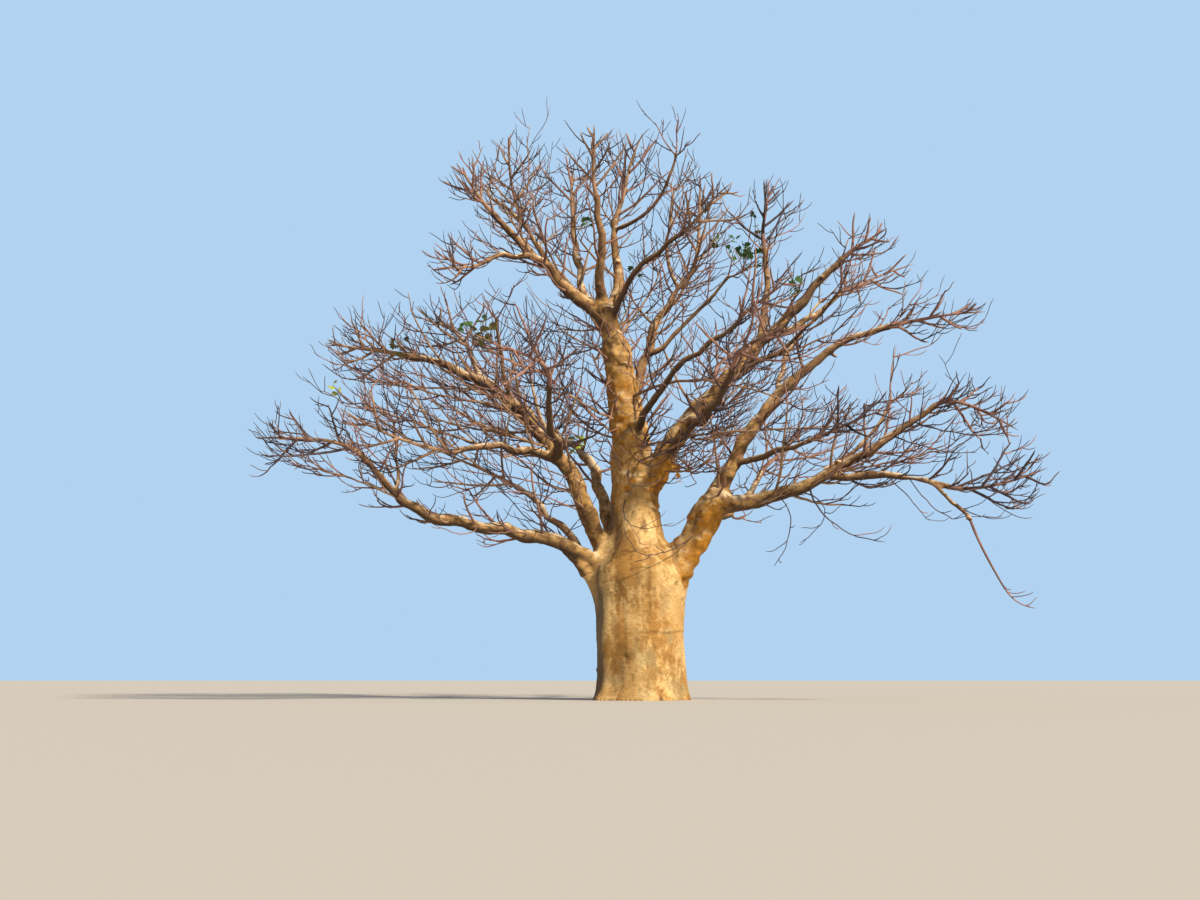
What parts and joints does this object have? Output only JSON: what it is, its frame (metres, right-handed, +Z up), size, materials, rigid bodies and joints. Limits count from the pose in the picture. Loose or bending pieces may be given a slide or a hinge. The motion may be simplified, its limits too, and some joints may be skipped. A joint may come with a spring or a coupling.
{
  "type": "baobab tree",
  "caption": "Leafless baobab tree with a stout bole, a leaning leader, tapering boughs and bare spreading twigs, rooted in the ground.",
  "frame": {"origin": "the middle of the flat cut under the trunk, at ground level", "axes": "+Z up; +X to the right in the picture's view, along the crown's widest spread; +Y away from the camera"},
  "size_m": [17.17, 12.9098, 14.0139],
  "materials": {
    "bark": "smooth to finely wrinkled bark, matte",
    "twig_bark": "rough bare twigs, matte"
  },
  "bodies": {
    "root": {"back_centre_bough": "bark", "back_centre_twigs": "twig_bark", "back_right_bough": "bark", "back_right_low_bough": "bark", "back_right_low_twigs": "twig_bark", "back_right_twigs": "twig_bark", "front_left_bough": "bark", "front_left_twigs": "twig_bark", "front_right_bough": "bark", "front_right_twigs": "twig_bark", "inner_right_bough": "bark", "inner_right_twigs": "twig_bark", "left_back_bough": "bark", "left_back_low_bough": "bark", "left_back_low_twigs": "twig_bark", "left_back_twigs": "twig_bark", "left_low_bough": "bark", "left_low_rise": "bark", "left_low_twigs": "twig_bark", "left_main_bough": "bark", "left_main_twigs": "twig_bark", "left_mid_bough": "bark", "left_mid_twigs": "twig_bark", "left_rising_bough": "bark", "left_rising_twigs": "twig_bark", "mid_right_bough": "bark", "mid_right_twigs": "twig_bark", "right_arm_bough": "bark", "right_arm_twigs": "twig_bark", "right_droop_bough": "bark", "right_droop_twigs": "twig_bark", "right_far_low_bough": "bark", "right_far_low_twigs": "twig_bark", "right_low_bough": "bark", "right_main_bough": "bark", "right_main_twigs": "twig_bark", "right_mid_bough": "bark", "right_mid_side_bough": "bark", "right_mid_side_twigs": "twig_bark", "right_mid_twigs": "twig_bark", "right_side_bough": "bark", "right_side_twigs": "twig_bark", "right_upright_bough": "bark", "right_upright_twigs": "twig_bark", "top_back_bough": "bark", "top_back_left_bough": "bark", "top_back_left_twigs": "twig_bark", "top_back_twigs": "twig_bark", "top_centre_bough": "bark", "top_centre_twigs": "twig_bark", "top_front_bough": "bark", "top_front_twigs": "twig_bark", "top_left_bough": "bark", "top_left_side_bough": "bark", "top_left_side_twigs": "twig_bark", "top_left_twigs": "twig_bark", "top_right_bough": "bark", "top_right_twigs": "twig_bark", "trunk": "bark"}
  },
  "joints": []
}
